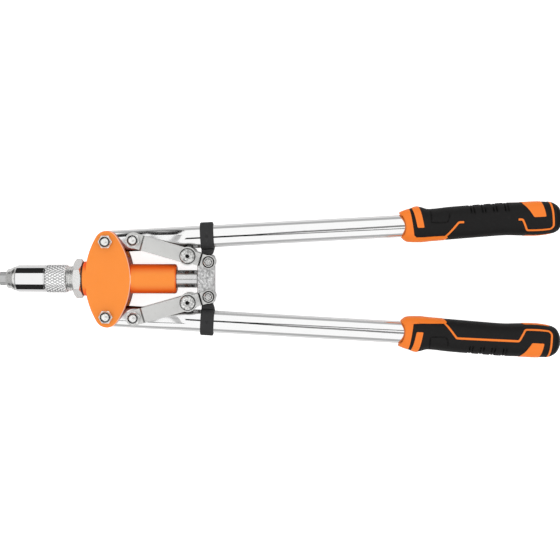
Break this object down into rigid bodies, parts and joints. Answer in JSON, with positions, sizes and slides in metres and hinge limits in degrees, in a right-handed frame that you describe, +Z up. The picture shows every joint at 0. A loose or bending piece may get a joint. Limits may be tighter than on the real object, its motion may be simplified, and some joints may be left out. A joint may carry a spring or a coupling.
{
  "type": "riveter",
  "caption": "Long-armed blind riveter: spreading arms pull a rod through joggled links to grip and draw a rivet mandrel in the nose.",
  "frame": {"origin": "centre of the footprint of the closed tool as it lies flat, on the plane of its lowest bolt heads", "axes": "+X from the nose to the grips along the pull rod, +Y across the arms, +Z up, square to the plane in which the arms swing"},
  "size_m": [0.5598, 0.1564, 0.044],
  "materials": {
    "orange_paint": "satin powder coat",
    "chrome_steel": "polished chrome plate",
    "zinc_steel": "bright zinc plate",
    "cast_steel": "grainy casting, zinc plated",
    "bare_steel": "machined",
    "bronze": "machined",
    "black_rubber": "matte moulded",
    "orange_plastic": "satin moulded",
    "black_grip": "soft-touch moulded"
  },
  "bodies": {
    "housing": {"head_casting": "orange_paint", "rod_guide_bush": "bronze", "threaded_stem": "zinc_steel", "upper_ear_bolt": "zinc_steel", "upper_ear_nut": "zinc_steel", "lower_ear_bolt": "zinc_steel", "lower_ear_nut": "zinc_steel"},
    "locknut": {"locknut": "zinc_steel"},
    "nose_sleeve": {"nose_sleeve": "chrome_steel"},
    "nosepiece": {"nosepiece": "zinc_steel"},
    "drawbar": {"pull_rod": "chrome_steel", "yoke_block": "cast_steel", "jaw_case": "bare_steel", "jaw_spring": "bare_steel"},
    "jaw_pusher": {"jaw_pusher": "bare_steel"},
    "jaw_1": {"jaw_1": "bare_steel"},
    "jaw_2": {"jaw_2": "bare_steel"},
    "jaw_3": {"jaw_3": "bare_steel"},
    "arm_upper": {"upper_arm_tube": "chrome_steel", "upper_pivot_bush": "bronze", "upper_arm_bumper": "black_rubber", "upper_grip_core": "orange_plastic", "upper_grip_cover": "black_grip", "upper_grip_end_cap": "black_grip"},
    "arm_lower": {"lower_arm_tube": "chrome_steel", "lower_pivot_bush": "bronze", "lower_arm_bumper": "black_rubber", "lower_grip_core": "orange_plastic", "lower_grip_cover": "black_grip", "lower_grip_end_cap": "black_grip"},
    "link_upper": {"upper_link_bolt": "zinc_steel", "upper_link_nut": "zinc_steel", "upper_link_top": "zinc_steel", "upper_link_bottom": "zinc_steel", "upper_link_spacer": "bare_steel", "upper_link_screw": "zinc_steel", "upper_link_screw_nut": "zinc_steel", "upper_yoke_bolt": "zinc_steel", "upper_yoke_nut": "zinc_steel"},
    "link_lower": {"lower_link_bolt": "zinc_steel", "lower_link_nut": "zinc_steel", "lower_link_top": "zinc_steel", "lower_link_bottom": "zinc_steel", "lower_link_spacer": "bare_steel", "lower_link_screw": "zinc_steel", "lower_link_screw_nut": "zinc_steel", "lower_yoke_bolt": "zinc_steel", "lower_yoke_nut": "zinc_steel"}
  },
  "joints": [
    {"name": "arm_upper_hinge", "type": "hinge", "parent": "housing", "child": "arm_upper", "pos_m": [-0.17136, 0.037, 0.0208], "axis": [0, 0, 1], "range_deg": [0, 45]},
    {"name": "arm_lower_hinge", "type": "hinge", "parent": "housing", "child": "arm_lower", "pos_m": [-0.17136, -0.037, 0.0208], "axis": [0, 0, 1], "range_deg": [-45, 0]},
    {"name": "link_upper_hinge", "type": "hinge", "parent": "arm_upper", "child": "link_upper", "pos_m": [-0.145, 0.03845, 0.0208], "axis": [0, 0, 1], "range_deg": [-59.74, 0]},
    {"name": "link_lower_hinge", "type": "hinge", "parent": "arm_lower", "child": "link_lower", "pos_m": [-0.145, -0.03845, 0.0208], "axis": [0, 0, 1], "range_deg": [0, 59.74]},
    {"name": "drawbar_slide", "type": "slide", "parent": "housing", "child": "drawbar", "axis": [-1, 0, 0], "range_m": [0, 0.0166]},
    {"name": "jaw_pusher_slide", "type": "slide", "parent": "drawbar", "child": "jaw_pusher", "axis": [1, 0, 0], "range_m": [0, 0.0015], "deforming": ["jaw_spring"]},
    {"name": "jaw_1_slide", "type": "slide", "parent": "drawbar", "child": "jaw_1", "axis": [0.9806, 0, 0.1961], "range_m": [0, 0.00153]},
    {"name": "jaw_2_slide", "type": "slide", "parent": "drawbar", "child": "jaw_2", "axis": [0.9806, -0.1698, -0.0981], "range_m": [0, 0.00153]},
    {"name": "jaw_3_slide", "type": "slide", "parent": "drawbar", "child": "jaw_3", "axis": [0.9806, 0.1698, -0.0981], "range_m": [0, 0.00153]},
    {"name": "nose_sleeve_turn", "type": "hinge", "parent": "housing", "child": "nose_sleeve", "pos_m": [-0.2233, 0, 0.0208], "axis": [1, 0, 0], "continuous": true},
    {"name": "nosepiece_turn", "type": "hinge", "parent": "nose_sleeve", "child": "nosepiece", "pos_m": [-0.2649, 0, 0.0208], "axis": [1, 0, 0], "continuous": true},
    {"name": "locknut_turn", "type": "hinge", "parent": "housing", "child": "locknut", "pos_m": [-0.2001, 0, 0.0208], "axis": [1, 0, 0], "continuous": true}
  ],
  "couplings": [
    {"joint": "arm_lower_hinge", "follows": "arm_upper_hinge", "ratio": -1},
    {"joint": "link_upper_hinge", "follows": "arm_upper_hinge", "ratio": -1.3275},
    {"joint": "link_lower_hinge", "follows": "arm_upper_hinge", "ratio": 1.3275},
    {"joint": "drawbar_slide", "follows": "arm_upper_hinge", "m_per_rad": 0.021135},
    {"joint": "jaw_1_slide", "follows": "jaw_pusher_slide", "ratio": 1.0198},
    {"joint": "jaw_2_slide", "follows": "jaw_pusher_slide", "ratio": 1.0198},
    {"joint": "jaw_3_slide", "follows": "jaw_pusher_slide", "ratio": 1.0198}
  ]
}
